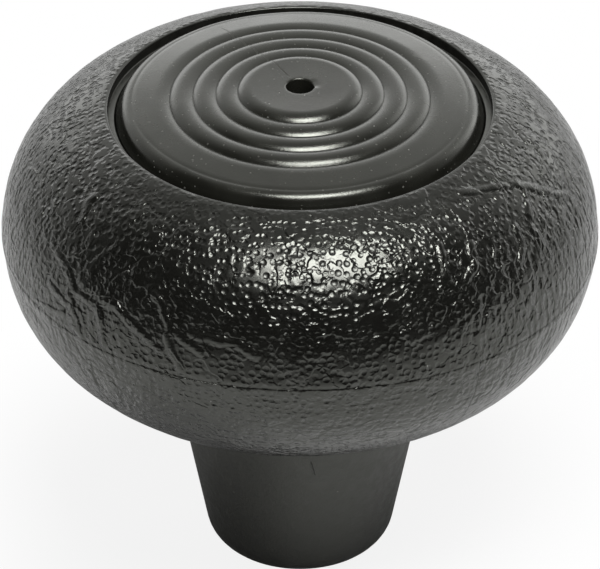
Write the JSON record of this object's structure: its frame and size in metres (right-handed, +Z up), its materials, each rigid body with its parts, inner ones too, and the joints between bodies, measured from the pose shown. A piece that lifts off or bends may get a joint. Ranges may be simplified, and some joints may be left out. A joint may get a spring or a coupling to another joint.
{
  "type": "shift knob",
  "caption": "Round gear-lever knob: squat leather-grained black grip moulded in one with its tapered stem, ringed snap-in cap in its top, threaded insert in the stem.",
  "frame": {"origin": "middle of the stem's flat foot, on the surface that the knob stands on", "axes": "+Z up the knob's axis of revolution, from the foot to the cap; +X and +Y are square to it, and the first view looks along +Y"},
  "size_m": [0.055, 0.055, 0.0491],
  "materials": {
    "grained_moulding": "soft black moulding, glossy leather grain on the grip, smooth and dull on the stem",
    "cap_plastic": "smooth black plastic, satin gloss",
    "insert_brass": "turned, dull"
  },
  "bodies": {
    "root": {"knob_body": "grained_moulding", "cap": "cap_plastic", "threaded_insert": "insert_brass"}
  },
  "joints": []
}
